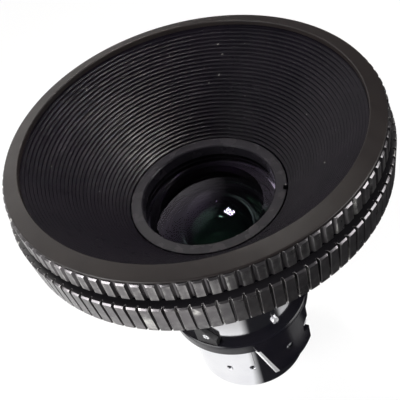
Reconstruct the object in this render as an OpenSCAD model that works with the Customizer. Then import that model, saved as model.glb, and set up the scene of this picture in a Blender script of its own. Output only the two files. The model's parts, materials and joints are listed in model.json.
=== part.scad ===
// Short throw projection lens with a wide ribbed hood.
// The optical axis is +Z, towards the screen. The origin is the centre of the tail's end face.
// The two grip rings turn about the axis: the front one drives the front cell, and the rear one
// drives the focus cell, each through three pins that run in slanted cam slots.

/* [Overall] */
// Length from the tail's end face to the outer edge of the front bezel
lens_length = 148; // [145:0.5:160]

/* [Bezel and hood] */
// Step from the front grip's teeth in to the bezel's outer edge
bezel_inset = 0.8; // [0.6:0.1:1.5]
// Width of the bezel's face
bezel_w = 6.3; // [5:0.1:8]
// Thickness of the bezel at its outer edge
bezel_edge_h = 1; // [0.8:0.1:1.6]
// Rise of the bezel's face towards its inner edge
bezel_rise = 1.2; // [0.6:0.1:2]
// Break on the bezel's outer edge
bezel_break = 0.3; // [0.2:0.05:0.5]
// Step from the bezel's inner edge in to the first rib
rib_inset = 0.3; // [0.2:0.1:1]
// Depth from the bezel's outer edge to the retaining ring's face
hood_depth = 36.5; // [34:0.5:40]
// Thickness of the hood's cone and of its hub, square to the axis
hood_wall = 3.9; // [3.6:0.1:5]
// Number of ribs down the hood's cone
rib_count = 29; // [20:1:34]
// Depth of the grooves between the ribs
rib_depth = 0.62; // [0.4:0.02:0.9]
// How far the hood's rim hangs below the front grip ring
rim_drop = 1.8; // [1:0.1:1.9]
// Depth of the step in the hub that turns on the barrel's collar
hub_step = 1.45; // [1.2:0.05:1.8]

/* [Grip rings] */
// Radius over the front grip ring's teeth
front_grip_r = 73.3; // [71:0.1:75]
// Height of the front grip ring
front_grip_h = 7.9; // [6:0.1:9]
// Number of teeth on the front grip ring
front_teeth = 92; // [72:4:100]
// Depth of the front grip ring's teeth
front_tooth_h = 1.1; // [0.6:0.1:1.4]
// Width of the front grip's grooves at the teeth's tips
front_groove_w = 2.2; // [1.6:0.1:2.6]
// Width of the front grip's grooves at their floor
front_floor_w = 0.7; // [0.5:0.1:1.2]
// Wall of both grip rings under their teeth
grip_wall = 2.5; // [2:0.1:3.5]
// Open gap between the two grip rings
grip_gap = 2.2; // [2:0.1:3]
// Radius over the focus grip ring's teeth
focus_grip_r = 75.2; // [73:0.1:78]
// Height of the focus grip ring
focus_grip_h = 13.2; // [11:0.1:15]
// How much smaller in radius the focus grip ring is at its rear end
focus_grip_taper = 0.7; // [0:0.1:1]
// Number of teeth on the focus grip ring
focus_teeth = 108; // [84:4:120]
// Depth of the focus grip ring's teeth at the rear end
focus_tooth_h = 0.8; // [0.6:0.1:1.2]
// Width of the focus grip's grooves at the teeth's tips
focus_groove_w = 1.2; // [1:0.1:1.6]
// Width of the focus grip's grooves at their floor
focus_floor_w = 0.5; // [0.3:0.1:0.8]
// Chamfer on the grip rings' front edges
grip_chamfer = 0.6; // [0.4:0.1:1]
// Chamfer on the grip rings' rear edges
grip_rear_chamfer = 0.45; // [0.2:0.05:0.8]

/* [Focus cone and sleeve] */
// Radius of the cone's foot, where it leaves its hub
cone_foot_r = 41; // [40:0.5:44]
// Radius of the cone's shoulder
cone_shoulder_r = 66.5; // [62:0.5:67.5]
// Height of the bevel between the cone's shoulder and its rim
cone_bevel_h = 3.6; // [2:0.1:5]
// Size of the turned steps at the cone's foot and shoulder
cone_step = 1; // [0.5:0.1:1.2]
// Thickness of the cone's shell, square to the axis
cone_shell_w = 3; // [2.4:0.1:3.5]
// Thickness of the cone's foot plate
cone_foot_h = 2.3; // [2:0.1:2.6]
// Wall of the focus cam sleeve
sleeve_wall = 3.55; // [3:0.05:3.6]
// Length of the focus cam sleeve
sleeve_len = 16.4; // [15.5:0.1:17]
// Width of the sleeve's flange outside its wall
sleeve_flange_w = 6.5; // [6:0.1:7]
// Thickness of the sleeve's flange
sleeve_flange_h = 2.2; // [2:0.1:2.6]
// Wall of the cover over the sleeve's cam slots
cam_cover_wall = 1; // [0.8:0.1:1.1]
// Height of the ring that stops the sleeve from behind
stop_ring_h = 2.7; // [2:0.1:3.5]
// Width of the ring that stops the sleeve from behind
stop_ring_w = 2.6; // [2:0.1:3]

/* [Main barrel] */
// Outer radius of the main barrel
barrel_r = 27.9; // [26.5:0.1:29]
// Wall of the main barrel round the focus cell
barrel_wall = 3.9; // [3.5:0.1:4.2]
// How much wider in radius the barrel's foot is, from the flange up to the sleeve's stop ring
foot_step = 2.6; // [2:0.1:3]
// How much wider in radius the hood's throat is than the barrel
throat_step = 5.2; // [5:0.1:6]
// Thickness of the collar that carries the hood's hub
collar_h = 4; // [3:0.1:5]
// Length of the guide tube in front of the collar
guide_len = 9; // [8.5:0.1:10]
// Wall of the guide tube in front of the collar
guide_wall = 3.5; // [3:0.1:4]
// Height of the lens seat above the collar's rear face
second_seat_h = 1; // [0.8:0.1:1.5]
// Thickness of the ring that keeps the hood's hub on the collar
hood_retainer_h = 3; // [2.5:0.1:3.2]

/* [Front cell] */
// Gap between the front cell and the hood's throat
cell_gap = 0.5; // [0.4:0.05:0.8]
// Wall of the front cell round its glass
cell_wall = 1.55; // [1.2:0.05:1.9]
// Wall of the front cell's skirt
skirt_wall = 3.55; // [3.3:0.05:4]
// Thickness of the seat under the front glass
cell_seat_h = 2.2; // [2:0.1:3]
// Width of the seat under the front glass
cell_seat_w = 3.5; // [3:0.1:4]
// Thickness of the front retaining ring's face
cap_h = 2; // [1.5:0.1:2.5]
// Depth that the front retaining ring's thread reaches into the cell
cap_thread_h = 3; // [2.5:0.1:4]
// How far the front retaining ring covers the front glass's edge
cap_cover = 3.3; // [2.5:0.1:4]
// Width of the spanner notch in the retaining ring
notch_w = 2.6; // [2:0.1:4]
// Depth of the spanner notch from the ring's outer edge
notch_d = 1.5; // [1:0.1:2]
// Angle of the spanner notch round the axis
notch_angle = 340; // [0:1:360]

/* [Flange and claws] */
// Width of the mount flange outside the barrel
flange_step = 5.9; // [5:0.1:6.5]
// Height of the mount flange
flange_h = 6.7; // [6:0.1:8]
// How much the flange tapers inwards to its seat
flange_taper = 0.5; // [0.3:0.1:1]
// Break on the flange's top edge
flange_break = 0.5; // [0.2:0.1:0.8]
// How far the claws stand out past the flange's edge
claw_proud = 0.2; // [0.1:0.1:0.5]
// Length of the claws below the flange's seat
claw_len = 23.6; // [20:0.1:23.7]
// Height of the tapered foot of the claws
claw_foot_h = 1.2; // [0.8:0.1:3]
// How much the foot of the claws tapers inwards
claw_foot_taper = 1; // [0.5:0.1:1.5]
// Angle round the axis where a claw starts at the flange's seat
claw_start_angle = -92; // [-100:1:-88]
// Angle round the axis where a claw ends
claw_end_angle = -36; // [-37:1:-30]
// Slope of the claw's lead edge against the axis
claw_slope = 16; // [8:1:20]
// Chamfer on the outer corner of a claw's lead edge
claw_chamfer = 1.4; // [0.6:0.1:2]
// Radius of the relief round the screw at a claw's end
claw_relief_r = 4.2; // [3.5:0.1:4.6]
// Number of claws
claw_count = 2; // [2:1:3]

/* [Tail] */
// Length of the tail from its end face to the flange's seat
tail_len = 39.3; // [38:0.1:41]
// Step from the barrel in to the tail
tail_inset = 0.1; // [0.05:0.05:0.3]
// Wall of the tail
tail_wall = 2.2; // [1.8:0.1:2.6]
// Thickness of the lip at the tail's end
tail_lip_h = 2; // [1.5:0.1:2.5]
// Width of the lip at the tail's end
tail_lip_w = 4; // [3:0.1:4.5]
// Step from the tail in to the register at its end
register_step = 0.3; // [0.25:0.05:0.5]
// Length of the register at the tail's end
register_len = 15; // [12:0.5:15.5]
// Break on the tail's end edge
tail_break = 0.5; // [0.3:0.1:0.8]
// Height of the aperture's seat above the flange
aperture_step = 2; // [1.6:0.1:2.6]
// Radius of the aperture's hole
aperture_r = 11; // [8:0.5:14]
// Thickness of the aperture plate
aperture_h = 1; // [0.6:0.1:1.2]
// Length of the barrel's spigot inside the tail
spigot_drop = 10.5; // [10:0.1:10.8]
// Wall of the barrel's spigot
spigot_wall = 3.05; // [2.6:0.05:3.2]

/* [Rear cell] */
// Wall of the rear cell
rear_wall = 3; // [2.6:0.1:3.4]
// Thickness of the rear cell's lip
rear_lip_h = 3; // [2.5:0.1:3.5]
// Width of the rear cell's lip
rear_lip_w = 2.3; // [2:0.1:3]
// Edge thickness of the rear glass
rear_edge_h = 3.5; // [3:0.1:4]
// Height of the spacer in front of the rear glass
rear_spacer_h = 6; // [5.8:0.1:6.5]
// Edge thickness of the doublet's hollow glass
flint_edge_h = 7.5; // [7.2:0.1:8]
// Edge thickness of the doublet's domed glass
crown_edge_h = 1.5; // [1:0.1:1.6]
// Height of the rear retaining ring
rear_ring_h = 1.3; // [1:0.1:1.4]

/* [Focus cell] */
// Length of the focus cell
carriage_len = 20.5; // [20:0.1:21]
// Wall of the focus cell
carriage_wall = 2.95; // [2.6:0.05:3.2]
// Thickness of the focus cell's rear lip
carriage_lip_h = 2; // [1.6:0.1:2.4]
// Width of the focus cell's rear lip
carriage_lip_w = 2; // [1.6:0.1:2.4]
// Edge thickness of the third glass
third_edge_h = 2.5; // [2:0.1:3]
// Height of the spacer in the focus cell
focus_spacer_h = 6.5; // [6.2:0.1:7]
// Edge thickness of the fourth glass
fourth_edge_h = 6; // [5.6:0.1:6.2]
// Height of the focus cell's retaining ring
focus_ring_h = 2.4; // [1.6:0.1:2.8]

/* [Glass curves] */
// Radius of the front glass's domed face
front_dome_curve = 76; // [70:1:100]
// Radius of the front glass's hollow face
front_hollow_curve = 32; // [30:1:36]
// Thickness of the front glass at its centre
front_centre_h = 4; // [3:0.1:5]
// Edge thickness of the front glass
front_edge_h = 6.5; // [6:0.1:7.5]
// Radius of the second glass's domed face
second_dome_curve = 42; // [38:1:50]
// Radius of the second glass's hollow face
second_hollow_curve = 22; // [21:1:26]
// Thickness of the second glass at its centre
second_centre_h = 3; // [2.5:0.1:3.5]
// Edge thickness of the second glass
second_edge_h = 6; // [5:0.1:6.5]
// Height of the second glass's retaining ring
second_ring_h = 3; // [2:0.1:3.5]
// Radius of the third glass's two domed faces
third_curve = 38; // [36:1:50]
// Radius of the fourth glass's front hollow face
fourth_hollow_curve = 60; // [58:1:80]
// Radius of the weakly curved faces
weak_curve = 150; // [120:5:200]
// Radius of the rear glass's inner domed face
rear_dome_curve = 45; // [44:1:60]
// Radius of the cemented face inside the doublet
cement_curve = 56; // [55:1:70]
// Radius of the doublet's front domed face
crown_curve = 52; // [48:1:60]

/* [Travel] */
// Turn of the focus ring each way, in degrees
focus_turn = 45; // [30:1:50]
// Travel of the focus cell each way
focus_lift = 2; // [1:0.1:2]
// Turn of the front ring each way, in degrees
front_turn = 40; // [30:1:44]
// Travel of the front cell each way
front_lift = 1; // [0.5:0.1:1]

/* [Pins, keys and screws] */
// Radius of the focus cell's cam pins
focus_pin_r = 1.25; // [1:0.05:1.3]
// Radius of the front cell's cam pins
front_pin_r = 1.2; // [1:0.05:1.3]
// Width of the guide keys
key_w = 3; // [2:0.1:4]
// How far the guide keys stand out of the guide tube
key_out = 1.8; // [1.2:0.1:2]
// How deep the guide keys sit in the guide tube
key_in = 1.4; // [1:0.1:1.8]
// Radius of the small screws' threads
screw_r = 0.9; // [0.7:0.05:1.1]
// Radius of the small screws' heads
screw_head_r = 1.6; // [1.3:0.05:1.8]
// Height of the small screws' heads
screw_head_h = 1; // [0.8:0.1:1.3]
// Radius of the claw screws' threads
claw_screw_r = 1.1; // [0.9:0.05:1.2]
// Radius of the claw screws' heads
claw_screw_head_r = 2; // [1.7:0.1:2.2]
// Height of the claw screws' heads
claw_screw_head_h = 1.3; // [1:0.1:1.5]
// How deep the seats of the claw screws are sunk into the claws
claw_screw_sink = 2.5; // [2:0.1:2.8]
// Radius of the cone screws' threads
cone_screw_r = 1.1; // [0.9:0.05:1.2]
// Number of screws that hold the focus cone
cone_screw_count = 6; // [3:1:8]
// Radius of the tail's set screws
set_screw_r = 1.4; // [1.1:0.05:1.5]
// Height of the tail's set screws above the end face
set_screw_z = 17.5; // [16:0.5:20]
// Width of the index block on the flange
index_w = 10; // [8:0.1:11]
// Height of the index block
index_h = 10; // [8:0.1:11]
// Size of the slant on the index block's upper corner
index_cut = 6; // [3:0.1:7]
// Thickness of the index block outside the barrel's foot
index_d = 2.4; // [2:0.1:2.8]

/* [Fits] */
// Radial clearance of parts that slide or turn on each other
running_gap = 0.05; // [0.03:0.01:0.08]
// Clearance of parts that are seated in each other
seat_gap = 0.04; // [0.02:0.01:0.06]
// Clearance between moving faces
free_gap = 0.3; // [0.25:0.01:0.4]

/* [Hidden] */

// Smoothness of the round parts
round_fn = 120;
fine_fn = 32;
ball_fn = 240;
// How far cuts run past a surface, and domes root into their glass
cut_over = 1;
dome_root = 0.5;
shell_black = [0.10, 0.09, 0.10];
satin_black = [0.17, 0.16, 0.17];
grip_grey = [0.42, 0.41, 0.42];
polished_black = [0.20, 0.20, 0.22];
bare_metal = [0.62, 0.62, 0.64];
dark_steel = [0.30, 0.30, 0.32];
glass_tint = [0.16, 0.20, 0.24, 0.6];

// Radii that follow the barrel
throat_r = barrel_r + throat_step;
hub_r = throat_r + hood_wall;
hub_bore_r = throat_r + hub_step;
collar_r = hub_bore_r - running_gap;
cell_r = throat_r - cell_gap;
front_glass_r = cell_r - cell_wall - seat_gap;
cap_mouth_r = front_glass_r - cap_cover;
skirt_r = cell_r - skirt_wall;
guide_r = skirt_r - running_gap;
second_bore_r = guide_r - guide_wall;
second_glass_r = second_bore_r - seat_gap;
bore_r = barrel_r - barrel_wall;
foot_r = barrel_r + foot_step;
sleeve_bore_r = barrel_r + running_gap;
sleeve_r = sleeve_bore_r + sleeve_wall;
sleeve_flange_r = sleeve_r + sleeve_flange_w;
carriage_r = bore_r - running_gap;
carriage_bore_r = carriage_r - carriage_wall;
focus_glass_r = carriage_bore_r - seat_gap;
tail_r = barrel_r - tail_inset;
tail_bore_r = tail_r - tail_wall;
register_r = tail_r - register_step;
spigot_r = tail_bore_r - seat_gap;
spigot_bore_r = spigot_r - spigot_wall;
rear_bore_r = spigot_r - rear_wall;
rear_glass_r = rear_bore_r - seat_gap;
rear_clear_r = rear_bore_r - rear_lip_w;
flange_r = barrel_r + flange_step;
claw_r = flange_r + claw_proud;
claw_screw_seat_r = claw_r - claw_screw_sink;

// Radii that follow the grip rings
rim_r = front_grip_r - front_tooth_h - grip_wall;
bezel_r = front_grip_r - bezel_inset;
bezel_mouth_r = bezel_r - bezel_w;
mouth_r = bezel_mouth_r - rib_inset;
focus_rim_r = focus_grip_r - focus_grip_taper - focus_tooth_h - grip_wall;

// Heights down from the bezel
front_grip_z = lens_length - bezel_edge_h - front_grip_h;
grip_top_z = lens_length - bezel_edge_h;
rim_z = front_grip_z - rim_drop;
throat_z = lens_length - hood_depth;
// The hood's cone runs out by this much in radius for each millimetre of height
hood_spread = (mouth_r - throat_r) / (grip_top_z - throat_z);
// Height up to which the hood's back clears the inside of the focus ring's rim
rim_bore_r = focus_rim_r - cone_shell_w;
hood_clear_z = throat_z + (rim_bore_r - free_gap - throat_r - hood_wall) / hood_spread;
focus_grip_top_z = min(front_grip_z - grip_gap, hood_clear_z);
focus_grip_z = focus_grip_top_z - focus_grip_h;

// Heights of the front cell, down from the retaining ring's face
cell_top_z = throat_z - cap_h;
front_glass_top_z = cell_top_z - cap_thread_h;
front_glass_z = front_glass_top_z - front_edge_h;
cell_seat_z = front_glass_z - cell_seat_h;
guide_top_z = cell_seat_z - front_lift - 2 * free_gap;
collar_top_z = guide_top_z - guide_len;
collar_z = collar_top_z - collar_h;
skirt_z = collar_top_z + front_lift + 2 * free_gap;
front_pin_z = (skirt_z + cell_seat_z) / 2;
hub_z = collar_z - free_gap - hood_retainer_h;
second_seat_z = collar_z + second_seat_h;

// Heights of the focus sleeve and the focus cell, down from the collar
sleeve_top_z = collar_z - free_gap;
sleeve_z = sleeve_top_z - sleeve_len;
stop_ring_z = sleeve_z - free_gap - stop_ring_h;
cone_foot_z = hub_z - 2 * free_gap - cone_foot_h;
sleeve_flange_z = cone_foot_z - sleeve_flange_h;
focus_pin_z = (sleeve_z + sleeve_flange_z) / 2;
carriage_z = second_seat_z - focus_lift - 2 * free_gap - carriage_len;
third_z = carriage_z + carriage_lip_h;
focus_spacer_z = third_z + third_edge_h;
fourth_z = focus_spacer_z + focus_spacer_h;
focus_ring_z = fourth_z + fourth_edge_h;

// Heights up from the tail's end face
flange_top_z = tail_len + flange_h;
spigot_z = tail_len - spigot_drop;
aperture_z = flange_top_z + aperture_step;
aperture_ring_z = aperture_z + aperture_h;
barrel_screw_z = aperture_ring_z + 1.5 * screw_head_r;
aperture_ring_h = 3 * screw_head_r;
rear_glass_z = tail_lip_h + rear_lip_h;
rear_spacer_z = rear_glass_z + rear_edge_h;
flint_z = rear_spacer_z + rear_spacer_h;
crown_z = flint_z + flint_edge_h;
rear_ring_z = crown_z + crown_edge_h;
claw_screw_z = spigot_z + 1.3 * claw_screw_r;
claw_z = tail_len - claw_len;
claw_top_z = flange_top_z - 3 * flange_break;

// Slot and hole radii
focus_slot_r = focus_pin_r + running_gap;
front_slot_r = front_pin_r + running_gap;
screw_hole_r = screw_r + seat_gap;
claw_hole_r = claw_screw_r + seat_gap;

// Angles of repeated pieces
pin_count = 3;
focus_pin_angle = 0;
front_pin_angle = 30;
key_angle = 90;
barrel_screw_angle = -68;
index_angle = -127.5;
claw_screw_angles = [-63, -38];
set_screw_angles = [-121.5, -98.5];

// Height of a ball's cap over a circle of radius r
function cap_height(curve, r) = curve - sqrt(curve * curve - r * r);

// Radius of the mouth that a ball sunk to a depth cuts into a flat
function hollow_mouth(curve, depth) = sqrt(curve * curve - pow(curve - depth, 2));

// A ring turned from an outline of [radius, height] points
module turned(outline) {
    rotate_extrude($fn = round_fn) polygon(outline);
}

module ring(z, h, r_out, r_in) {
    turned([[r_in, z], [r_out, z], [r_out, z + h], [r_in, z + h]]);
}

module around(count, start_angle) {
    for (i = [0 : count - 1]) {
        rotate([0, 0, start_angle + i * 360 / count]) children();
    }
}

module at_angles(angles) {
    for (a = angles) {
        rotate([0, 0, a]) children();
    }
}

// A round bar that points away from the axis along +X
module radial_bar(z, r_from, r_to, r) {
    translate([r_from, 0, z]) {
        rotate([0, 90, 0]) cylinder(h = r_to - r_from, r = r, $fn = fine_fn);
    }
}

// A domed face on a flat at height z, with side 1 to the front and -1 to the rear
module dome(z, curve, r, side) {
    depth = cap_height(curve, r);
    intersection() {
        translate([0, 0, z + side * (depth - curve)]) sphere(r = curve, $fn = ball_fn);
        translate([0, 0, side > 0 ? z - dome_root : z - depth - cut_over]) {
            cylinder(h = depth + cut_over + dome_root, r = r, $fn = round_fn);
        }
    }
}

// The ball that hollows out a face at height z, with side 1 for a front face and -1 for a rear one
module hollow(z, curve, r, side) {
    depth = cap_height(curve, r);
    translate([0, 0, z + side * (curve - depth)]) sphere(r = curve, $fn = ball_fn);
}

// A slot through a ring's wall that climbs by lift each way over turn each way
module cam_slot(z, r_in, r_out, slot_r, turn, lift) {
    steps = 8;
    mid_r = (r_in + r_out) / 2;
    step_turn = 2 * turn / steps;
    chord = 2 * mid_r * sin(step_turn / 2);
    step_lift = 2 * lift / steps;
    slant = atan(step_lift / chord);
    for (i = [0 : steps]) {
        rotate([0, 0, -turn + i * step_turn]) {
            radial_bar(z - lift + i * step_lift, r_in - cut_over, r_out + cut_over, slot_r);
        }
    }
    for (i = [0 : steps - 1]) {
        rotate([0, 0, -turn + (i + 0.5) * step_turn]) {
            translate([r_in - cut_over, 0, z - lift + (i + 0.5) * step_lift]) {
                rotate([slant, 0, 0]) {
                    translate([0, -chord / 2, -slot_r]) {
                        cube([r_out - r_in + 2 * cut_over, chord, 2 * slot_r]);
                    }
                }
            }
        }
    }
}

// Outline of a toothed ring, wide enough that a turned shape can trim its tips
function tooth_outline(count, tip_r, depth, groove_w, floor_w) =
    let (
        out_r = tip_r + cut_over,
        out_w = groove_w + cut_over * (groove_w - floor_w) / depth,
        out_a = out_w / out_r * 90 / PI,
        floor_r = tip_r - depth,
        floor_a = floor_w / floor_r * 90 / PI,
        pitch = 360 / count
    )
    [
        for (i = [0 : count - 1])
            for (p = [
                [floor_r, -floor_a],
                [floor_r, floor_a],
                [out_r, out_a],
                [out_r, pitch - out_a]
            ])
                [p[0] * cos(i * pitch + p[1]), p[0] * sin(i * pitch + p[1])]
    ];

module toothed_ring(z, h, bore, tip_r, rear_r, count, depth, groove_w, floor_w) {
    intersection() {
        translate([0, 0, z]) {
            linear_extrude(height = h) polygon(tooth_outline(count, tip_r, depth, groove_w, floor_w));
        }
        turned([
            [bore, z],
            [rear_r - grip_rear_chamfer, z],
            [rear_r, z + grip_rear_chamfer],
            [tip_r, z + h - grip_chamfer],
            [tip_r - grip_chamfer, z + h],
            [bore, z + h]
        ]);
    }
}

// Ribs down the hood's cone, from its throat to its mouth: a narrow crest, a broad land that sinks
// away from it, a narrow floor and a steep riser to the next crest
rib_crest_share = 0.12;
rib_floor_shares = [0.72, 0.78];
function rib_line() =
    let (
        rise = grip_top_z - throat_z,
        run = mouth_r - throat_r,
        slant = sqrt(rise * rise + run * run),
        inward = [rise / slant, -run / slant] * rib_depth
    )
    [
        for (i = [0 : rib_count - 1])
            for (s = [[0, 0], [rib_crest_share, 0], [rib_floor_shares[0], 1], [rib_floor_shares[1], 1]])
                let (t = (i + s[0]) / rib_count)
                [throat_r + t * run, throat_z + t * rise] + s[1] * inward
    ];

// Pan head screw that points towards the axis, with its head's seat at r_seat
module radial_screw(z, r_seat, length, thread_r, head_r, head_h) {
    difference() {
        union() {
            radial_bar(z, r_seat - length, r_seat + head_h / 2, thread_r);
            radial_bar(z, r_seat, r_seat + head_h, head_r);
        }
        translate([r_seat + head_h / 2, -thread_r / 4, z - head_r]) {
            cube([head_h, thread_r / 2, 2 * head_r]);
        }
        translate([r_seat + head_h / 2, -head_r, z - thread_r / 4]) {
            cube([head_h, 2 * head_r, thread_r / 2]);
        }
    }
}

// Fixed barrel

module main_barrel() {
    key_reach = focus_lift + free_gap;
    index_screw_z = flange_top_z + index_h / 2;
    color(polished_black) difference() {
        turned([
            [spigot_bore_r, spigot_z],
            [spigot_r, spigot_z],
            [spigot_r, flange_top_z],
            [foot_r, flange_top_z],
            [foot_r, stop_ring_z],
            [barrel_r, stop_ring_z],
            [barrel_r, collar_z],
            [collar_r, collar_z],
            [collar_r, collar_top_z],
            [guide_r, collar_top_z],
            [guide_r, guide_top_z],
            [second_bore_r, guide_top_z],
            [second_bore_r, second_seat_z],
            [bore_r, second_seat_z],
            [bore_r, aperture_z],
            [spigot_bore_r, aperture_z]
        ]);
        // Straight slots that keep the focus cell from turning
        around(pin_count, focus_pin_angle) {
            for (side = [-1, 1]) {
                radial_bar(
                    focus_pin_z + side * key_reach, bore_r - cut_over, barrel_r + cut_over, focus_slot_r
                );
            }
            translate([bore_r - cut_over, -focus_slot_r, focus_pin_z - key_reach]) {
                cube([barrel_wall + 2 * cut_over, 2 * focus_slot_r, 2 * key_reach]);
            }
        }
        // Seats of the guide keys
        around(pin_count, key_angle) guide_key(seat_gap);
        around(pin_count, barrel_screw_angle) {
            radial_bar(barrel_screw_z, bore_r - cut_over, foot_r + cut_over, screw_hole_r);
        }
        rotate([0, 0, index_angle]) {
            radial_bar(index_screw_z, spigot_bore_r + cut_over, foot_r + cut_over, screw_hole_r);
        }
        for (k = [0 : claw_count - 1]) {
            rotate([0, 0, k * 360 / claw_count]) at_angles(claw_screw_angles) {
                radial_bar(claw_screw_z, spigot_r - claw_screw_r, spigot_r + cut_over, claw_hole_r);
            }
        }
    }
}

// One key along the guide tube; spare widens it into its own seat
module guide_key(spare) {
    bottom_z = collar_top_z + 2 * free_gap - spare;
    top_z = guide_top_z - 2 * free_gap + spare;
    translate([guide_r - key_in - spare, -key_w / 2 - spare, bottom_z]) {
        cube([key_in + key_out + 2 * spare, key_w + 2 * spare, top_z - bottom_z]);
    }
}

module guide_keys() {
    color(bare_metal) around(pin_count, key_angle) guide_key(0);
}

second_dome_r = second_glass_r - 1.5 * front_pin_r;
module second_element() {
    dome_top_z = second_seat_z + second_edge_h + cap_height(second_dome_curve, second_dome_r);
    hollow_depth = dome_top_z - second_centre_h - second_seat_z;
    hollow_r = hollow_mouth(second_hollow_curve, hollow_depth);
    color(glass_tint) difference() {
        union() {
            translate([0, 0, second_seat_z]) {
                cylinder(h = second_edge_h, r = second_glass_r, $fn = round_fn);
            }
            dome(second_seat_z + second_edge_h, second_dome_curve, second_dome_r, 1);
        }
        hollow(second_seat_z, second_hollow_curve, hollow_r, -1);
    }
}

module second_retaining_ring() {
    color(shell_black) {
        ring(second_seat_z + second_edge_h, second_ring_h, second_glass_r, second_dome_r);
    }
}

module sleeve_stop_ring() {
    stop_bore_r = barrel_r + seat_gap;
    color(satin_black) difference() {
        ring(stop_ring_z, stop_ring_h, stop_bore_r + stop_ring_w, stop_bore_r);
        around(2, key_angle) {
            translate([stop_bore_r + stop_ring_w / 2, -key_w / 2, stop_ring_z + stop_ring_h / 2]) {
                cube([stop_ring_w, key_w, stop_ring_h / 2 + cut_over]);
            }
        }
    }
}

module aperture_plate() {
    color(shell_black) ring(aperture_z, aperture_h, bore_r - seat_gap, aperture_r);
}

module aperture_ring() {
    color(satin_black) difference() {
        ring(aperture_ring_z, aperture_ring_h, bore_r - seat_gap, bore_r - barrel_wall / 2);
        around(pin_count, barrel_screw_angle) {
            radial_bar(barrel_screw_z, bore_r - barrel_wall, bore_r + cut_over, screw_hole_r);
        }
    }
}

module barrel_screws() {
    color(bare_metal) around(pin_count, barrel_screw_angle) {
        radial_screw(
            barrel_screw_z, foot_r + seat_gap, foot_r - bore_r + barrel_wall / 3,
            screw_r, screw_head_r, screw_head_h
        );
    }
}

// Mount flange with its claws

module claw() {
    // The sector starts ahead of the slanted lead edge, which trims it over its whole height
    sector_start = claw_start_angle - claw_slope;
    width = claw_end_angle - sector_start;
    reach = 2 * claw_r;
    difference() {
        intersection() {
            turned([
                [tail_r + seat_gap, claw_z],
                [claw_r - claw_foot_taper, claw_z],
                [claw_r, claw_z + claw_foot_h],
                [claw_r, claw_top_z - claw_proud],
                [flange_r - flange_taper / 2, claw_top_z],
                [tail_r + seat_gap, claw_top_z]
            ]);
            translate([0, 0, claw_z - cut_over]) {
                linear_extrude(height = claw_top_z - claw_z + 2 * cut_over) {
                    polygon([
                        [0, 0],
                        reach * [cos(sector_start), sin(sector_start)],
                        reach * [cos(sector_start + width / 2), sin(sector_start + width / 2)],
                        reach * [cos(claw_end_angle), sin(claw_end_angle)]
                    ]);
                }
            }
        }
        // Slanted lead edge and the chamfer on its outer corner
        rotate([0, 0, claw_start_angle]) {
            translate([0, 0, tail_len]) {
                rotate([claw_slope, 0, 0]) {
                    translate([0, -reach, -2 * claw_len]) {
                        cube([reach, reach, 4 * claw_len]);
                    }
                    translate([claw_r - claw_chamfer, 0, -2 * claw_len]) {
                        rotate([0, 0, 45]) {
                            translate([-reach, -reach, 0]) {
                                cube([2 * reach, reach, 4 * claw_len]);
                            }
                        }
                    }
                }
            }
        }
    }
}

module mount_flange() {
    color(satin_black) difference() {
        union() {
            turned([
                [spigot_r + seat_gap, tail_len],
                [flange_r - flange_taper, tail_len],
                [flange_r, flange_top_z - 3 * flange_break],
                [flange_r, flange_top_z - flange_break],
                [flange_r - flange_break, flange_top_z],
                [spigot_r + seat_gap, flange_top_z]
            ]);
            around(claw_count, 0) claw();
        }
        for (k = [0 : claw_count - 1]) {
            rotate([0, 0, k * 360 / claw_count]) at_angles(claw_screw_angles) {
                radial_bar(claw_screw_z, spigot_r, claw_r + cut_over, claw_hole_r);
                radial_bar(
                    claw_screw_z, claw_screw_seat_r, claw_r + cut_over, claw_screw_head_r + 2 * seat_gap
                );
            }
            rotate([0, 0, k * 360 / claw_count + claw_screw_angles[1]]) {
                radial_bar(claw_screw_z, claw_screw_seat_r, claw_r + cut_over, claw_relief_r);
            }
        }
    }
}

module claw_screws() {
    color(bare_metal) {
        for (k = [0 : claw_count - 1]) {
            rotate([0, 0, k * 360 / claw_count]) at_angles(claw_screw_angles) {
                radial_screw(
                    claw_screw_z, claw_screw_seat_r, claw_screw_seat_r - spigot_r + claw_screw_r / 2,
                    claw_screw_r, claw_screw_head_r, claw_screw_head_h
                );
            }
        }
    }
}

module index_block() {
    screw_z = flange_top_z + index_h / 2;
    cut_r = foot_r + index_d + cut_over;
    color(shell_black) rotate([0, 0, index_angle]) difference() {
        translate([foot_r - index_d, -index_w / 2, flange_top_z]) {
            cube([2 * index_d, index_w, index_h]);
        }
        translate([0, 0, flange_top_z - cut_over]) {
            cylinder(h = index_h + 2 * cut_over, r = foot_r + seat_gap, $fn = round_fn);
        }
        radial_bar(screw_z, foot_r - cut_over, cut_r, screw_hole_r);
        radial_bar(screw_z, foot_r + index_d / 2, cut_r, screw_head_r + 2 * seat_gap);
        translate([foot_r - 2 * index_d, index_w / 2, flange_top_z + index_h - index_cut]) {
            rotate([45, 0, 0]) cube([5 * index_d, 2 * index_cut, 2 * index_cut]);
        }
    }
}

module index_screw() {
    color(bare_metal) rotate([0, 0, index_angle]) {
        radial_screw(
            flange_top_z + index_h / 2, foot_r + index_d / 2, index_d / 2 + barrel_wall,
            screw_r, screw_head_r, screw_head_h
        );
    }
}

// Tail and rear cell

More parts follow.
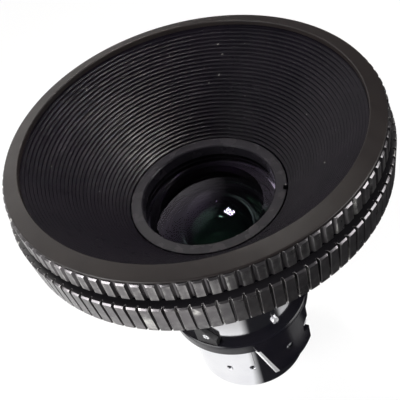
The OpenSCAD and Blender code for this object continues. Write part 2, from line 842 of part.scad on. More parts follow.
module tail_tube() {
    color(polished_black) difference() {
        turned([
            [tail_bore_r - tail_lip_w, 0],
            [register_r - tail_break, 0],
            [register_r, tail_break],
            [register_r, register_len],
            [tail_r, register_len + register_step],
            [tail_r, tail_len],
            [tail_bore_r, tail_len],
            [tail_bore_r, tail_lip_h],
            [tail_bore_r - tail_lip_w, tail_lip_h]
        ]);
        around(pin_count, 0) at_angles(set_screw_angles) {
            radial_bar(set_screw_z, tail_bore_r - cut_over, tail_r + cut_over, set_screw_r + seat_gap);
        }
        for (k = [0 : claw_count - 1]) {
            rotate([0, 0, k * 360 / claw_count]) at_angles(claw_screw_angles) {
                radial_bar(claw_screw_z, tail_bore_r - cut_over, tail_r + cut_over, claw_hole_r);
            }
        }
    }
}

module tail_set_screws() {
    color(dark_steel) around(pin_count, 0) at_angles(set_screw_angles) {
        difference() {
            radial_bar(set_screw_z, tail_bore_r, tail_r - tail_break, set_screw_r);
            translate([tail_r - tail_wall / 2, 0, set_screw_z]) {
                rotate([0, 90, 0]) cylinder(h = tail_wall, r = set_screw_r / 2, $fn = 6);
            }
        }
    }
}

module rear_cell() {
    color(shell_black) turned([
        [rear_clear_r, tail_lip_h],
        [spigot_r, tail_lip_h],
        [spigot_r, spigot_z],
        [rear_bore_r, spigot_z],
        [rear_bore_r, rear_glass_z],
        [rear_clear_r, rear_glass_z]
    ]);
}

rear_dome_r = rear_glass_r - rear_lip_w / 2;
module rear_element() {
    color(glass_tint) {
        translate([0, 0, rear_glass_z]) cylinder(h = rear_edge_h, r = rear_glass_r, $fn = round_fn);
        dome(rear_glass_z + rear_edge_h, rear_dome_curve, rear_dome_r, 1);
        dome(rear_glass_z, weak_curve, rear_clear_r - seat_gap, -1);
    }
}

module rear_spacer() {
    color(shell_black) ring(rear_spacer_z, rear_spacer_h, rear_glass_r, rear_dome_r + seat_gap);
}

module doublet_flint() {
    color(glass_tint) difference() {
        translate([0, 0, flint_z]) cylinder(h = flint_edge_h, r = rear_glass_r, $fn = round_fn);
        hollow(flint_z, weak_curve, rear_dome_r, -1);
        hollow(crown_z, cement_curve, rear_dome_r, 1);
    }
}

module doublet_crown() {
    color(glass_tint) {
        translate([0, 0, crown_z]) cylinder(h = crown_edge_h, r = rear_glass_r, $fn = round_fn);
        dome(crown_z, cement_curve, rear_dome_r, -1);
        dome(rear_ring_z, crown_curve, rear_dome_r - seat_gap, 1);
    }
}

module rear_retaining_ring() {
    color(shell_black) ring(rear_ring_z, rear_ring_h, rear_glass_r, rear_dome_r);
}

// Focus ring

module focus_cam_sleeve() {
    color(bare_metal) difference() {
        turned([
            [sleeve_bore_r, sleeve_z],
            [sleeve_r, sleeve_z],
            [sleeve_r, sleeve_flange_z],
            [sleeve_flange_r, sleeve_flange_z],
            [sleeve_flange_r, cone_foot_z],
            [sleeve_r, cone_foot_z],
            [sleeve_r, sleeve_top_z],
            [sleeve_bore_r, sleeve_top_z]
        ]);
        around(pin_count, focus_pin_angle) {
            cam_slot(focus_pin_z, sleeve_bore_r, sleeve_r, focus_slot_r, focus_turn, -focus_lift);
        }
        around(cone_screw_count, front_pin_angle) {
            translate([sleeve_r + sleeve_flange_w / 2, 0, sleeve_flange_z - cut_over]) {
                cylinder(h = sleeve_flange_h + 2 * cut_over, r = cone_screw_r + seat_gap, $fn = fine_fn);
            }
        }
    }
}

module cam_cover() {
    cover_r = sleeve_r + seat_gap + cam_cover_wall;
    cover_break = cam_cover_wall / 2;
    color(satin_black) turned([
        [sleeve_r + seat_gap, sleeve_z],
        [cover_r - cover_break, sleeve_z],
        [cover_r, sleeve_z + cover_break],
        [cover_r, sleeve_flange_z],
        [sleeve_r + seat_gap, sleeve_flange_z]
    ]);
}

module focus_cone() {
    rim_top_z = focus_grip_top_z - free_gap;
    bevel_z = focus_grip_z - free_gap;
    shoulder_z = bevel_z - cone_bevel_h;
    color(satin_black) difference() {
        turned([
            [sleeve_r + seat_gap, cone_foot_z],
            [cone_foot_r - cone_step / 2, cone_foot_z],
            [cone_foot_r, cone_foot_z + cone_step / 2],
            [cone_foot_r, cone_foot_z + cone_step],
            [cone_foot_r + cone_step, cone_foot_z + cone_step],
            [cone_shoulder_r - cone_step, shoulder_z - cone_step],
            [cone_shoulder_r, shoulder_z - cone_step],
            [cone_shoulder_r, shoulder_z],
            [focus_rim_r, bevel_z],
            [focus_rim_r, rim_top_z],
            [rim_bore_r, rim_top_z],
            [rim_bore_r, bevel_z + cone_shell_w / 2],
            [cone_shoulder_r - cone_shell_w, shoulder_z + cone_shell_w / 2],
            [cone_foot_r + cone_step - cone_shell_w + cone_foot_h / 2, cone_foot_z + cone_foot_h],
            [sleeve_r + seat_gap, cone_foot_z + cone_foot_h]
        ]);
        around(cone_screw_count, front_pin_angle) {
            translate([sleeve_r + sleeve_flange_w / 2, 0, cone_foot_z - cut_over]) {
                cylinder(h = cut_over + 0.8 * cone_foot_h, r = cone_screw_r + seat_gap, $fn = fine_fn);
            }
        }
    }
}

module focus_grip_ring() {
    color(grip_grey) toothed_ring(
        focus_grip_z, focus_grip_h, focus_rim_r + seat_gap, focus_grip_r, focus_grip_r - focus_grip_taper,
        focus_teeth, focus_tooth_h + focus_grip_taper, focus_groove_w, focus_floor_w
    );
}

module cone_screws() {
    color(dark_steel) around(cone_screw_count, front_pin_angle) {
        translate([sleeve_r + sleeve_flange_w / 2, 0, sleeve_flange_z]) {
            difference() {
                union() {
                    cylinder(h = sleeve_flange_h + 0.7 * cone_foot_h, r = cone_screw_r, $fn = fine_fn);
                    translate([0, 0, -screw_head_h]) {
                        cylinder(h = screw_head_h, r = 1.8 * cone_screw_r, $fn = fine_fn);
                    }
                }
                translate([0, 0, -2 * screw_head_h]) {
                    cylinder(h = 1.5 * screw_head_h, r = cone_screw_r, $fn = 6);
                }
            }
        }
    }
}

// Focus cell

module focus_cell() {
    color(shell_black) difference() {
        turned([
            [carriage_bore_r - carriage_lip_w, carriage_z],
            [carriage_r, carriage_z],
            [carriage_r, carriage_z + carriage_len],
            [carriage_bore_r, carriage_z + carriage_len],
            [carriage_bore_r, third_z],
            [carriage_bore_r - carriage_lip_w, third_z]
        ]);
        around(pin_count, focus_pin_angle) {
            radial_bar(
                focus_pin_z, carriage_bore_r - cut_over, carriage_r + cut_over, focus_pin_r + seat_gap
            );
        }
    }
}

third_dome_r = focus_glass_r - carriage_wall / 3;
module third_element() {
    color(glass_tint) {
        translate([0, 0, third_z]) cylinder(h = third_edge_h, r = focus_glass_r, $fn = round_fn);
        dome(focus_spacer_z, third_curve, third_dome_r, 1);
        dome(third_z, third_curve, carriage_bore_r - carriage_lip_w - seat_gap, -1);
    }
}

module focus_spacer() {
    color(shell_black) ring(focus_spacer_z, focus_spacer_h, focus_glass_r, third_dome_r + seat_gap);
}

module fourth_element() {
    color(glass_tint) difference() {
        translate([0, 0, fourth_z]) cylinder(h = fourth_edge_h, r = focus_glass_r, $fn = round_fn);
        hollow(fourth_z, weak_curve, third_dome_r, -1);
        hollow(focus_ring_z, fourth_hollow_curve, third_dome_r, 1);
    }
}

module focus_retaining_ring() {
    color(shell_black) ring(focus_ring_z, focus_ring_h, focus_glass_r, third_dome_r);
}

module focus_cam_pins() {
    color(bare_metal) around(pin_count, focus_pin_angle) {
        radial_bar(focus_pin_z, carriage_bore_r + free_gap, sleeve_r - free_gap, focus_pin_r);
    }
}

// Front ring with its hood

module hood_cone() {
    bottom_z = hub_z;
    shoulder_z = collar_top_z + free_gap;
    rim_in_r = throat_r + hood_wall + (rim_z - throat_z) * hood_spread;
    color(shell_black) difference() {
        turned(concat(
            [
                [hub_bore_r, bottom_z],
                [hub_r, bottom_z],
                [hub_r, throat_z],
                [rim_in_r, rim_z],
                [rim_r, rim_z],
                [rim_r, grip_top_z],
                [mouth_r, grip_top_z]
            ],
            [for (i = [len(rib_line()) - 1 : -1 : 0]) rib_line()[i]],
            [
                [throat_r, shoulder_z],
                [hub_bore_r, shoulder_z]
            ]
        ));
        around(pin_count, front_pin_angle) {
            cam_slot(front_pin_z, throat_r, hub_r, front_slot_r, front_turn, -front_lift);
        }
    }
}

module front_bezel() {
    inner_z = lens_length + bezel_rise;
    color(satin_black) turned([
        [bezel_mouth_r, grip_top_z],
        [bezel_r, grip_top_z],
        [bezel_r, lens_length - bezel_break],
        [bezel_r - bezel_break, lens_length],
        [bezel_mouth_r + bezel_break, inner_z],
        [bezel_mouth_r, inner_z - bezel_break]
    ]);
}

module front_grip_ring() {
    color(grip_grey) toothed_ring(
        front_grip_z, front_grip_h, rim_r + seat_gap, front_grip_r, front_grip_r,
        front_teeth, front_tooth_h, front_groove_w, front_floor_w
    );
}

module hood_retaining_ring() {
    color(satin_black) difference() {
        ring(hub_z, hood_retainer_h, hub_bore_r - seat_gap, sleeve_r + 2 * free_gap);
        around(2, key_angle) {
            translate([hub_bore_r - stop_ring_w / 2, -key_w / 2, hub_z - cut_over]) {
                cube([stop_ring_w, key_w, hood_retainer_h / 2 + cut_over]);
            }
        }
    }
}

// Front cell

module front_cell() {
    color(shell_black) difference() {
        turned([
            [skirt_r, skirt_z],
            [cell_r, skirt_z],
            [cell_r, cell_top_z],
            [front_glass_r + seat_gap, cell_top_z],
            [front_glass_r + seat_gap, front_glass_z],
            [front_glass_r - cell_seat_w, front_glass_z],
            [front_glass_r - cell_seat_w, cell_seat_z],
            [skirt_r, cell_seat_z]
        ]);
        around(pin_count, key_angle) {
            translate([skirt_r - cut_over, -key_w / 2 - running_gap, skirt_z - cut_over]) {
                cube([
                    cut_over + key_out + 2 * running_gap,
                    key_w + 2 * running_gap,
                    cut_over + cell_seat_z - skirt_z
                ]);
            }
        }
        around(pin_count, front_pin_angle) {
            radial_bar(front_pin_z, skirt_r + free_gap, cell_r + cut_over, front_pin_r + seat_gap);
        }
    }
}

front_dome_r = cap_mouth_r - seat_gap;
module front_element() {
    dome_top_z = front_glass_top_z + cap_height(front_dome_curve, front_dome_r);
    hollow_depth = dome_top_z - front_centre_h - front_glass_z;
    hollow_r = hollow_mouth(front_hollow_curve, hollow_depth);
    color(glass_tint) difference() {
        union() {
            translate([0, 0, front_glass_z]) cylinder(h = front_edge_h, r = front_glass_r, $fn = round_fn);
            dome(front_glass_top_z, front_dome_curve, front_dome_r, 1);
        }
        hollow(front_glass_z, front_hollow_curve, hollow_r, -1);
    }
}

module front_retaining_ring() {
    lip = cap_h / 4;
    color(satin_black) difference() {
        turned([
            [cap_mouth_r, front_glass_top_z],
            [front_glass_r, front_glass_top_z],
            [front_glass_r, cell_top_z],
            [cell_r, cell_top_z],
            [cell_r, throat_z - lip / 2],
            [cell_r - lip / 2, throat_z],
            [cap_mouth_r + lip, throat_z],
            [cap_mouth_r, throat_z - lip]
        ]);
        rotate([0, 0, notch_angle]) {
            translate([cell_r - notch_d, -notch_w / 2, cell_top_z]) {
                cube([notch_d + cut_over, notch_w, cap_h + cut_over]);
            }
        }
    }
}

module front_cam_pins() {
    color(bare_metal) around(pin_count, front_pin_angle) {
        radial_bar(front_pin_z, skirt_r + free_gap, hub_r - 2 * free_gap, front_pin_r);
    }
}

main_barrel();
guide_keys();
second_element();
second_retaining_ring();
sleeve_stop_ring();
aperture_plate();
aperture_ring();
barrel_screws();
mount_flange();
claw_screws();
index_block();
index_screw();
tail_tube();
tail_set_screws();
rear_cell();
rear_element();
rear_spacer();
doublet_flint();
doublet_crown();
rear_retaining_ring();
focus_cam_sleeve();
cam_cover();
focus_cone();
focus_grip_ring();
cone_screws();
focus_cell();
third_element();
focus_spacer();
fourth_element();
focus_retaining_ring();
focus_cam_pins();
hood_cone();
front_bezel();
front_grip_ring();
hood_retaining_ring();
front_cell();
front_element();
front_retaining_ring();
front_cam_pins();
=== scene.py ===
"""The looks of a short throw projection lens with a wide ribbed hood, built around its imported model."""
import json
import math

import bmesh
import bpy
from mathutils import Matrix, Vector


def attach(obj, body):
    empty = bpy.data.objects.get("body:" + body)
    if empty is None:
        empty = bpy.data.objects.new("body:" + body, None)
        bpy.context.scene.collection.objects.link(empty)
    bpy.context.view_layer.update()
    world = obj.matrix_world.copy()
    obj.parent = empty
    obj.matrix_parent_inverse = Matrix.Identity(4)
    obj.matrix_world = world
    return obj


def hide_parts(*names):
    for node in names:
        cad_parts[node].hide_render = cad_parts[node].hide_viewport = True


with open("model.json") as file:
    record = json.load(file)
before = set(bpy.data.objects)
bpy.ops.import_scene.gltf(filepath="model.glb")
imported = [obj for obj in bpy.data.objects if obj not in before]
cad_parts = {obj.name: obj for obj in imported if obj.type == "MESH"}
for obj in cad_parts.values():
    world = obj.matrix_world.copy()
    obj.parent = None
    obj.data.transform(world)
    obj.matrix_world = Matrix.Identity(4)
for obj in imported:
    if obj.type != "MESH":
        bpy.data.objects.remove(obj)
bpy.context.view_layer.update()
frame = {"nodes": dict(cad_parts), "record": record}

# The view, in metres and degrees: the camera looks down at the lens from in front, rolled to its left
CAMERA_PLACE = (-0.0040, -0.2055, 0.3123)
CAMERA_TILT = 45.203
CAMERA_ROLL = -17.562
CAMERA_LENS_MM = 63.0
CAMERA_SENSOR_MM = 36.0
CAMERA_CLIP = 0.01


def add_camera():
    data = bpy.data.cameras.new("camera")
    data.sensor_width = CAMERA_SENSOR_MM
    data.lens = CAMERA_LENS_MM
    data.clip_start = CAMERA_CLIP
    camera = bpy.data.objects.new("camera", data)
    bpy.context.scene.collection.objects.link(camera)
    tilt = Matrix.Rotation(math.radians(CAMERA_TILT), 4, "X")
    roll = Matrix.Rotation(math.radians(CAMERA_ROLL), 4, "Z")
    camera.matrix_world = Matrix.Translation(CAMERA_PLACE) @ tilt @ roll
    bpy.context.scene.camera = camera


add_camera()


# Material helpers

class Nodes:
    """A material's or the world's node tree, with short calls for the nodes that the looks here need."""

    def __init__(self, name, world=None):
        self.material = world or bpy.data.materials.new(name)
        self.material.use_nodes = True
        self.tree = self.material.node_tree
        self.shader = self.tree.nodes["Background" if world else "Principled BSDF"]
        self.out = self.tree.nodes["World Output" if world else "Material Output"]

    def add(self, kind, **settings):
        node = self.tree.nodes.new(kind)
        for key, value in settings.items():
            setattr(node, key, value)
        return node

    def link(self, source, target):
        self.tree.links.new(source, target)

    def math(self, operation, a, b=None, clamp=False):
        node = self.add("ShaderNodeMath", operation=operation, use_clamp=clamp)
        for socket, value in zip(node.inputs, (a, b)):
            if value is None:
                continue
            if isinstance(value, (int, float)):
                socket.default_value = value
            else:
                self.link(value, socket)
        return node.outputs[0]

    def times(self, *values):
        total = values[0]
        for value in values[1:]:
            total = self.math("MULTIPLY", total, value)
        return total

    def spread(self, value, low, high, to_low=0, to_high=1):
        """The value's range from low to high, stretched to another range and held at its ends."""
        node = self.add("ShaderNodeMapRange", clamp=True)
        self.link(value, node.inputs["Value"])
        for end, number in (("From Min", low), ("From Max", high), ("To Min", to_low), ("To Max", to_high)):
            node.inputs[end].default_value = number
        return node.outputs["Result"]

    def mix(self, share, a, b):
        """Colour a where the share is 0, and b where it is 1."""
        node = self.add("ShaderNodeMix", data_type="RGBA")
        self.link(share, node.inputs[0])
        for socket, colour in ((node.inputs[6], a), (node.inputs[7], b)):
            if isinstance(colour, tuple):
                socket.default_value = (*colour, 1)
            else:
                self.link(colour, socket)
        return node.outputs[2]

    def place(self):
        return self.add("ShaderNodeTexCoord").outputs["Object"]

    def axes(self, source):
        split = self.add("ShaderNodeSeparateXYZ")
        self.link(source, split.inputs[0])
        return split.outputs

    def along(self, source, direction, offset=0.0):
        """Distance along a direction, less the offset."""
        total = None
        for axis, share in zip(self.axes(source), direction):
            part = self.math("MULTIPLY", axis, share)
            total = part if total is None else self.math("ADD", total, part)
        return self.math("SUBTRACT", total, offset)

    def from_axis(self, x, y):
        """Distance from the lens's axis."""
        return self.math("SQRT", self.math("ADD", self.times(x, x), self.times(y, y)))

    def turned_place(self, per_turn):
        """Distance from the axis, turns round it and height, for the lines that a lathe leaves."""
        x, y, z = self.axes(self.place())
        turn = self.math("MULTIPLY", self.math("ARCTAN2", y, x), per_turn)
        join = self.add("ShaderNodeCombineXYZ")
        for source, target in zip((self.from_axis(x, y), turn, z), join.inputs):
            self.link(source, target)
        return join.outputs[0]

    def noise(self, where, scale, detail=3.0, roughness=0.55):
        node = self.add("ShaderNodeTexNoise")
        self.link(where, node.inputs["Vector"])
        node.inputs["Scale"].default_value = scale
        node.inputs["Detail"].default_value = detail
        node.inputs["Roughness"].default_value = roughness
        return node.outputs["Fac"]

    def bump(self, height, distance, under=None):
        node = self.add("ShaderNodeBump")
        node.inputs["Strength"].default_value = 1.0
        node.inputs["Distance"].default_value = distance
        self.link(height, node.inputs["Height"])
        if under is not None:
            self.link(under, node.inputs["Normal"])
        return node.outputs["Normal"]

    def edges(self, low, high):
        """1 on convex edges and 0 elsewhere, for wear."""
        return self.spread(self.add("ShaderNodeNewGeometry").outputs["Pointiness"], low, high)

    def ray(self, kind):
        """1 for one kind of ray and 0 for the others."""
        return self.add("ShaderNodeLightPath").outputs[kind]

    def set(self, **values):
        for key, value in values.items():
            self.shader.inputs[key.replace("_", " ")].default_value = value

    def feed(self, **sockets):
        for key, value in sockets.items():
            self.link(value, self.shader.inputs[key.replace("_", " ")])

    def fed(self, name):
        """What a socket of the shader is fed by now."""
        return self.shader.inputs[name].links[0].from_socket


# Scales of the patterns on metal, and how far its roughness wanders
MOTTLE_SCALE = 70
GRAIN_SCALE = 2600
SMEAR_SCALE = 160
SCUFF_SCALE = 420
LATHE_SCALE = 3300
LATHE_TURN = 0.0006
SMOOTHEST = 0.82
ROUGHEST = 1.2
WORN_EDGES = (0.515, 0.56)


def anodised(
    name, dark, light, rough, turned_depth=0.0, grain_depth=4e-6, metallic=0.0, specular=0.5, wear=None
):
    """Coated or bare metal: a mottled colour, a fine grain, lathe lines and edges that are worn light."""
    m = Nodes(name)
    mottle = m.noise(m.place(), MOTTLE_SCALE)
    grain = m.noise(m.place(), GRAIN_SCALE, 2, 0.6)
    colour = m.mix(m.spread(mottle, 0.3, 0.7), dark, light)
    if wear:
        patches = m.spread(m.noise(m.place(), SCUFF_SCALE), 0.35, 0.65, 0.15, 1)
        colour = m.mix(m.times(m.edges(*WORN_EDGES), patches), colour, wear)
    m.feed(Base_Color=colour)
    smears = m.noise(m.place(), SMEAR_SCALE, 4)
    m.feed(Roughness=m.spread(smears, 0.25, 0.75, rough * SMOOTHEST, rough * ROUGHEST))
    normal = m.bump(grain, grain_depth)
    if turned_depth:
        lines = m.noise(m.turned_place(LATHE_TURN), LATHE_SCALE, 2, 0.7)
        normal = m.bump(lines, turned_depth, normal)
    m.feed(Normal=normal)
    m.set(Metallic=metallic, Specular_IOR_Level=specular)
    return m


DUST_SCALE = 620
DUST_RARITY = (0.864, 0.878)
DUST_STRENGTH = 0.6
DUST = (0.34, 0.33, 0.31)


def add_dust(m):
    """A few specks of pale dust."""
    specks = m.spread(m.noise(m.place(), DUST_SCALE, 0), *DUST_RARITY, 0, DUST_STRENGTH)
    m.feed(Base_Color=m.mix(specks, m.fed("Base Color"), DUST))


GRIP_METALLIC = 0.9
GRIP_TOP_SHADE = (0.012, 0.011, 0.013)
FACES_UP = (0.86, 0.95)


def paint_shade_on_tops(m):
    """Painted shade: the flat faces of the grips that look upwards are painted black and not metallic."""
    up = m.axes(m.add("ShaderNodeTexCoord").outputs["Normal"])[2]
    top = m.spread(up, *FACES_UP)
    m.feed(Base_Color=m.mix(top, m.fed("Base Color"), GRIP_TOP_SHADE))
    m.feed(Metallic=m.spread(top, 0, 1, GRIP_METALLIC, 0.0))


# The claws' lead edges, in metres: where they start, how they slope, and how wide the bare metal with its
# painted glint runs
CLAW_START = math.radians(-92)
CLAW_SLOPE = math.radians(16)
CLAW_SEAT = 0.0393
CLAW_INNER = 0.0320
CLAW_RUBBED_GLINT = 0.0024
CLAW_BLUR = 0.0002
RUBBED_GLINT_METAL = (0.86, 0.86, 0.87)
RUBBED_GLINT_METALLIC = 0.6
RUBBED_GLINT_ROUGH = 0.4


def rub_claws_with_painted_glint(m):
    """Bare bright metal on the chamfered lead edges of both claws, pale and partly matte so that it also
    shows as a painted glint.
    """
    place = m.place()
    below = m.spread(m.axes(place)[2], CLAW_SEAT - 2 * CLAW_BLUR, CLAW_SEAT - CLAW_BLUR, 1, 0)
    parts = []
    for side in (1, -1):
        out = (side * math.cos(CLAW_START), side * math.sin(CLAW_START), 0)
        across = (-math.cos(CLAW_SLOPE) * out[1], math.cos(CLAW_SLOPE) * out[0], math.sin(CLAW_SLOPE))
        past_edge = m.along(place, across, CLAW_SEAT * math.sin(CLAW_SLOPE))
        near = m.spread(past_edge, CLAW_RUBBED_GLINT - CLAW_BLUR / 2, CLAW_RUBBED_GLINT + CLAW_BLUR / 2, 1, 0)
        ahead = m.spread(past_edge, -2 * CLAW_BLUR, -CLAW_BLUR)
        outer = m.spread(m.along(place, out), CLAW_INNER - CLAW_BLUR, CLAW_INNER)
        parts.append(m.times(near, ahead, outer, below))
    rubbed_glint = m.math("MAXIMUM", *parts)
    rough = m.math("MAXIMUM", m.fed("Roughness"), m.times(rubbed_glint, RUBBED_GLINT_ROUGH))
    m.feed(Base_Color=m.mix(rubbed_glint, m.fed("Base Color"), RUBBED_GLINT_METAL))
    m.feed(Metallic=m.times(rubbed_glint, RUBBED_GLINT_METALLIC), Roughness=rough)


GLASS_IOR = 1.50
GLASS_ROUGH = 0.004
GLASS_SCALE = 90
GLASS_CLOUD = 0.9


def coated_glass(name, tint, body):
    """Dark optical glass whose coat leaves a faint tinted reflection."""
    m = Nodes(name)
    m.set(Transmission_Weight=1.0, IOR=GLASS_IOR, Specular_Tint=(*tint, 1), Roughness=GLASS_ROUGH)
    cloudy = tuple(GLASS_CLOUD * share for share in body)
    m.feed(Base_Color=m.mix(m.noise(m.place(), GLASS_SCALE, 2), body, cloudy))
    return m


# Every slot's look: two colours that it is mottled with, its roughness, and the depths of its lines and grain
METALS = {
    "hood_black": dict(
        dark=(0.006, 0.005, 0.008), light=(0.010, 0.008, 0.012), rough=0.30, grain_depth=1e-6, specular=0.07
    ),
    "bezel_black": dict(
        dark=(0.013, 0.010, 0.010), light=(0.018, 0.014, 0.013), rough=0.41, turned_depth=1e-6,
        grain_depth=2e-6, specular=0.27
    ),
    "ring_black": dict(
        dark=(0.018, 0.016, 0.021), light=(0.023, 0.021, 0.026), rough=0.26, grain_depth=2e-6, specular=0.2
    ),
    "satin_black": dict(
        dark=(0.005, 0.005, 0.008), light=(0.009, 0.008, 0.011), rough=0.20, grain_depth=2e-6, specular=0.2
    ),
    "polished_black": dict(
        dark=(0.79, 0.79, 0.82), light=(0.85, 0.85, 0.87), rough=0.12, grain_depth=1e-6, metallic=1.0
    ),
    "cell_black": dict(
        dark=(0.010, 0.010, 0.011), light=(0.016, 0.015, 0.016), rough=0.55, turned_depth=1e-5
    ),
    "grip_metal": dict(
        dark=(0.10, 0.095, 0.10), light=(0.14, 0.13, 0.135), rough=0.30, grain_depth=5e-6,
        metallic=GRIP_METALLIC, wear=(0.66, 0.65, 0.62)
    ),
    "bare_metal": dict(
        dark=(0.52, 0.40, 0.19), light=(0.62, 0.49, 0.25), rough=0.24, turned_depth=6e-6, grain_depth=3e-6,
        metallic=1.0
    ),
    "screw_metal": dict(dark=(0.72, 0.72, 0.74), light=(0.82, 0.82, 0.83), rough=0.42, metallic=0.55),
    "dark_steel": dict(
        dark=(0.10, 0.10, 0.11), light=(0.15, 0.15, 0.16), rough=0.30, turned_depth=4e-6, metallic=1.0
    ),
}
GLASSES = {
    "front_glass": dict(tint=(0.09, 0.06, 0.14), body=(0.50, 0.47, 0.54)),
    "inner_glass": dict(tint=(0.45, 1.0, 0.60), body=(0.40, 0.50, 0.43)),
    "rear_glass": dict(tint=(0.40, 0.45, 0.90), body=(0.55, 0.58, 0.62)),
}


def finishes():
    """Every slot's material."""
    made = {slot: anodised(slot, **look) for slot, look in METALS.items()}
    made.update({slot: coated_glass(slot, **look) for slot, look in GLASSES.items()})
    add_dust(made["hood_black"])
    paint_shade_on_tops(made["grip_metal"])
    rub_claws_with_painted_glint(made["satin_black"])
    return {slot: m.material for slot, m in made.items()}


# Rounded copies of the machined pieces: how wide their edges are broken, in metres, and in how many steps
EDGE_BREAKS = {
    "hood_cone": (0.00012, 2),
    "front_bezel": (0.00012, 2),
    "front_grip_ring": (0.00022, 3),
    "focus_grip_ring": (0.00018, 3),
    "front_retaining_ring": (0.00012, 2),
    "main_barrel": (0.00010, 2),
    "mount_flange": (0.00020, 3),
    "tail_tube": (0.00015, 2),
    "index_block": (0.00020, 2),
    "focus_cone": (0.00020, 3),
}
SHARP_ANGLE = math.radians(24)
SAME_POINT = 2e-7


def body_of(node):
    for body, members in frame["record"]["behaviour"]["bodies"].items():
        if node in members:
            return body
    raise KeyError(node)


def rounded(node, width, segments):
    """A copy of a node whose sharp edges are broken by a small radius, as a machined piece's are."""
    mesh = frame["nodes"][node].data.copy()
    mesh.name = node + "_edged"
    work = bmesh.new()
    work.from_mesh(mesh)
    bmesh.ops.remove_doubles(work, verts=work.verts, dist=SAME_POINT)
    work.to_mesh(mesh)
    work.free()
    if "custom_normal" in mesh.attributes:
        mesh.attributes.remove(mesh.attributes["custom_normal"])
    mesh.polygons.foreach_set("use_smooth", [True] * len(mesh.polygons))
    piece = bpy.data.objects.new(node + "_edged", mesh)
    bpy.context.scene.collection.objects.link(piece)
    bevel = piece.modifiers.new("edge break", "BEVEL")
    bevel.width = width
    bevel.segments = segments
    bevel.limit_method = "ANGLE"
    bevel.angle_limit = SHARP_ANGLE
    piece.modifiers.new("even shading", "WEIGHTED_NORMAL")
    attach(piece, body_of(node))
    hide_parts(node)
    return piece


def dress():
    """Give every piece its slot's material, on a rounded copy where it has one."""
    materials = finishes()
    slots = {part["node"]: part["material_slot"] for part in frame["record"]["subparts"]}
    for node, cad in frame["nodes"].items():
        piece = cad
        if node in EDGE_BREAKS:
            piece = rounded(node, *EDGE_BREAKS[node])
        piece.data.materials.clear()
        piece.data.materials.append(materials[slots[node]])


dress()


# Floor: white paper that keeps a soft shadow

WHITE = (1.0, 1.0, 1.0)
FLOOR_SIZE = 6.0
PAPER = (0.90, 0.90, 0.90)
PAPER_GLOW = 1.04
PAPER_GLOW_SHARE = 0.80
PAPER_SCALE = 30
PAPER_ROUGH = (0.75, 0.85)
PAPER_SPECULAR = 0.1

# A painted reflection: a dark sector of the floor that only mirror surfaces see, to the right of the lens,
# with a gap: half the gap's width, its start and its end, in metres
PAINTED_REFLECTION_DARK = (0.020, 0.020, 0.024)
PAINTED_REFLECTION_GLOW = (0.011, 0.011, 0.013)
PAINTED_REFLECTION_ANGLE = math.radians(-6)
PAINTED_REFLECTION_EDGE = (-0.12, 0.08)
GAP_ANGLE = math.radians(-34)
GAP_HALF = (0.008, 0.014)
GAP_START = (0.045, 0.052)
GAP_END = (0.105, 0.125)
GAP_SHARE = 0.55

# The ring that the hood shades, in metres from the axis
SHADED = (0.16, 0.15, 0.14)
SHADE_START = (0.062, 0.072)
SHADE_END = (0.100, 0.120)
SHADE_SHARE = 0.62


def seen_directly(m):
    """1 for what the camera, a mirror surface or glass shows, and 0 for what only lights the object."""
    path = m.add("ShaderNodeLightPath")
    either = m.math("MAXIMUM", path.outputs["Is Camera Ray"], path.outputs["Is Glossy Ray"])
    return m.math("MAXIMUM", either, path.outputs["Is Transmission Ray"])


def painted_reflection_share(m, x, y):
    """1 where mirror surfaces show the painted dark sector of the floor, a painted reflection that draws the
    dark side of the barrel and the tail.
    """
    across = m.along(m.place(), (math.cos(PAINTED_REFLECTION_ANGLE), math.sin(PAINTED_REFLECTION_ANGLE), 0))
    painted_dark = m.spread(m.math("DIVIDE", across, m.from_axis(x, y)), *PAINTED_REFLECTION_EDGE)
    # The gap in the painted reflection draws the light stripe on the barrel and the claw
    sideways = m.along(m.place(), (-math.sin(GAP_ANGLE), math.cos(GAP_ANGLE), 0))
    outwards = m.along(m.place(), (math.cos(GAP_ANGLE), math.sin(GAP_ANGLE), 0))
    narrow = m.spread(m.math("ABSOLUTE", sideways), *GAP_HALF, 1, 0)
    gap = m.times(narrow, m.spread(outwards, *GAP_START), m.spread(outwards, *GAP_END, 1, 0), GAP_SHARE)
    return m.times(m.math("SUBTRACT", painted_dark, gap, clamp=True), m.ray("Is Glossy Ray"))


def shade_share(m, x, y):
    """How far mirror surfaces show the hood's shade, which makes the barrel greyer than the tail."""
    out = m.from_axis(x, y)
    ring = m.times(m.spread(out, *SHADE_START), m.spread(out, *SHADE_END, 1, 0), SHADE_SHARE)
    return m.times(ring, m.ray("Is Glossy Ray"))


def add_floor():
    work = bmesh.new()
    bmesh.ops.create_grid(work, x_segments=1, y_segments=1, size=FLOOR_SIZE / 2)
    mesh = bpy.data.meshes.new("floor")
    work.to_mesh(mesh)
    work.free()
    floor = bpy.data.objects.new("floor", mesh)
    bpy.context.scene.collection.objects.link(floor)
    m = Nodes("floor_paper")
    mesh.materials.append(m.material)
    x, y, _ = m.axes(m.place())
    # Painted reflection: the floor is dark where mirror surfaces see the painted sector
    dark = painted_reflection_share(m, x, y)
    m.set(Specular_IOR_Level=PAPER_SPECULAR)
    m.feed(Base_Color=m.mix(dark, PAPER, PAINTED_REFLECTION_DARK))
    m.feed(Roughness=m.spread(m.noise(m.place(), PAPER_SCALE), 0.3, 0.7, *PAPER_ROUGH))
    glow = m.add("ShaderNodeEmission")
    glow.inputs["Strength"].default_value = PAPER_GLOW
    m.link(m.mix(dark, m.mix(shade_share(m, x, y), WHITE, SHADED), PAINTED_REFLECTION_GLOW), glow.inputs["Color"])
    mixer = m.add("ShaderNodeMixShader")
    m.link(m.times(seen_directly(m), PAPER_GLOW_SHARE), mixer.inputs[0])
    m.link(m.shader.outputs[0], mixer.inputs[1])
    m.link(glow.outputs[0], mixer.inputs[2])
    m.link(mixer.outputs[0], m.out.inputs["Surface"])


# World and lamps. A direction is an azimuth and an elevation in degrees, and the window's edge is in cosines

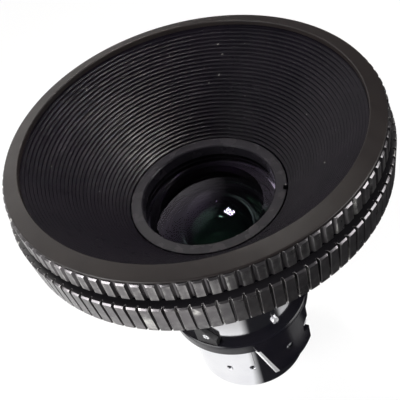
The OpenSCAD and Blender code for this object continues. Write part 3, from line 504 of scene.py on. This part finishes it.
ROOM_LIGHT = (0.10, 0.10, 0.105)
WINDOW_LIGHT = (2.2, 2.15, 2.1)
WINDOW_TOWARDS = (122, 36)
WINDOW_EDGE = (0.80, 0.97)

WARM = (1.0, 0.97, 0.92)
LENS_MIDDLE = (0, 0, 0.1)
RIBS_MIDDLE = (-0.030, 0.050, 0.125)
LAMPS = {
    "ceiling_lamp": dict(towards=(63, 66), distance=1.0, size=0.08, power=2, colour=WARM),
    "rib_spot": dict(
        towards=(63, 66), distance=1.0, size=0.08, power=0.041, colour=WARM, aim=RIBS_MIDDLE, beam=14
    ),
    "side_fill": dict(towards=(-152, 18), distance=0.8, size=0.6, power=9),
    "tooth_lamp": dict(towards=(-18, 22), distance=0.8, size=0.5, power=5),
}


def direction(azimuth, elevation):
    a, e = math.radians(azimuth), math.radians(elevation)
    return Vector((math.cos(e) * math.cos(a), math.cos(e) * math.sin(a), math.sin(e)))


def add_world():
    """A dim room with a broad soft window behind the lens and to its left, and white where it is seen."""
    world = bpy.data.worlds.new("studio")
    bpy.context.scene.world = world
    m = Nodes("studio", world)
    near = m.along(m.add("ShaderNodeTexCoord").outputs["Generated"], direction(*WINDOW_TOWARDS))
    room = m.mix(m.spread(near, *WINDOW_EDGE), ROOM_LIGHT, WINDOW_LIGHT)
    m.link(m.mix(m.ray("Is Camera Ray"), room, WHITE), m.shader.inputs["Color"])


def add_lamp(name, towards, distance, size, power, colour=WHITE, aim=LENS_MIDDLE, beam=180):
    """A round lamp that looks at the aim point, with a beam this many degrees wide."""
    data = bpy.data.lights.new(name, "AREA")
    data.shape = "DISK"
    data.size = size
    data.energy = power
    data.spread = math.radians(beam)
    data.color = colour
    lamp = bpy.data.objects.new(name, data)
    bpy.context.scene.collection.objects.link(lamp)
    away = direction(*towards)
    lamp.location = Vector(aim) + distance * away
    lamp.rotation_euler = away.to_track_quat("Z", "Y").to_euler()


add_floor()
add_world()
for lamp_name, lamp_look in LAMPS.items():
    add_lamp(lamp_name, **lamp_look)

scene = bpy.context.scene
scene.view_settings.view_transform = "Standard"
